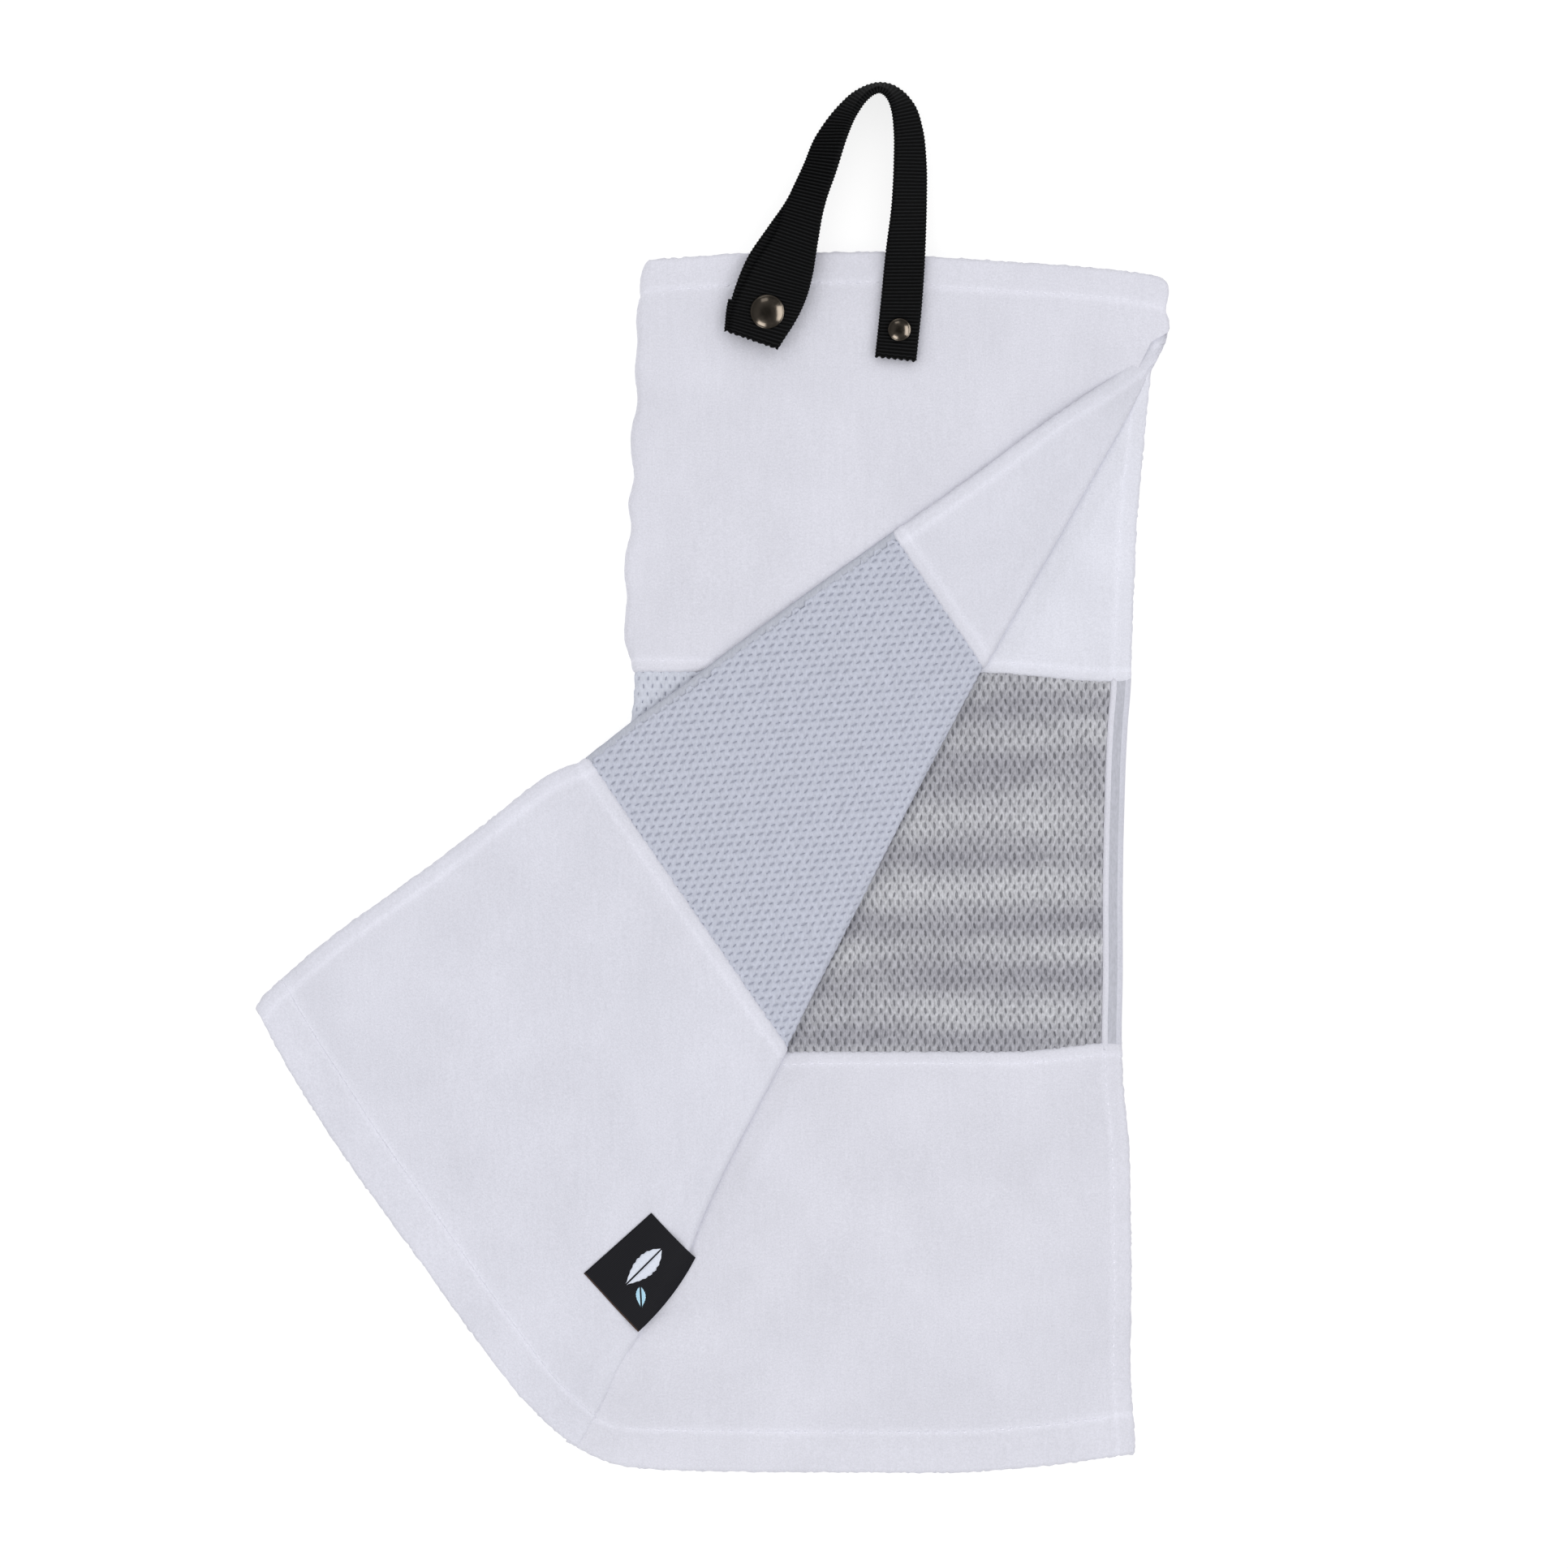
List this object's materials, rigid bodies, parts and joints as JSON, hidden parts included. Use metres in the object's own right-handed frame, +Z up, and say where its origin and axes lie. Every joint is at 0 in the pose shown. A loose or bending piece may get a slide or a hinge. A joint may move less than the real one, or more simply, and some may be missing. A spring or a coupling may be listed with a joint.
{
  "type": "golf towel",
  "caption": "White terry golf towel with a grey mesh band, folded lengthwise with one corner turned back, on a black webbing strap with a press snap.",
  "frame": {"origin": "centre of the bounding box, on the surface that the towel lies on", "axes": "+X across the towel, away from its lengthwise fold; +Y along it, towards the strap; +Z up, out of its front leaf"},
  "size_m": [0.3134, 0.4762, 0.0144],
  "materials": {
    "white_terry": "looped cotton terry, matt",
    "grey_mesh": "open knitted mesh, matt",
    "white_thread": "sewing thread",
    "black_webbing": "ribbed webbing, matt",
    "black_label": "woven label, satin weave",
    "gunmetal": "dark gunmetal plating, polished"
  },
  "bodies": {
    "towel": {"back_leaf_terry_upper": "white_terry", "back_leaf_mesh": "grey_mesh", "back_leaf_terry_lower": "white_terry", "front_leaf_terry_upper": "white_terry", "front_leaf_mesh": "grey_mesh", "front_leaf_terry_lower": "white_terry", "top_hem_back": "white_terry", "top_hem_front": "white_terry", "bottom_hem_back": "white_terry", "side_hem_back": "white_terry", "side_hem_front": "white_terry", "top_hem_stitching": "white_thread", "bottom_hem_stitching": "white_thread", "side_hem_stitching": "white_thread", "seam_stitching_upper": "white_thread", "seam_stitching_lower": "white_thread", "snap_stud": "gunmetal", "snap_post": "gunmetal", "rivet_cap": "gunmetal", "rivet_post": "gunmetal", "strap_rivet_leg": "black_webbing"},
    "flap": {"flap_terry_upper": "white_terry", "flap_mesh": "grey_mesh", "flap_terry_lower": "white_terry", "flap_side_hem": "white_terry", "flap_bottom_hem": "white_terry", "flap_side_stitching": "white_thread", "flap_bottom_stitching": "white_thread", "flap_seam_stitching_upper": "white_thread", "flap_seam_stitching_lower": "white_thread", "woven_label": "black_label"},
    "strap": {"strap_snap_leg": "black_webbing", "snap_cap": "gunmetal", "snap_socket": "gunmetal"}
  },
  "joints": [
    {"name": "flap_turn", "type": "hinge", "parent": "towel", "child": "flap", "pos_m": [0.057, -0.0355, 0.0066], "axis": [0.4667, 0.8844, 0], "range_deg": [0, 160]},
    {"name": "strap_lift", "type": "hinge", "parent": "towel", "child": "strap", "pos_m": [0.0572, 0.2366, 0.0072], "axis": [-1, 0, 0], "range_deg": [0, 120]}
  ]
}
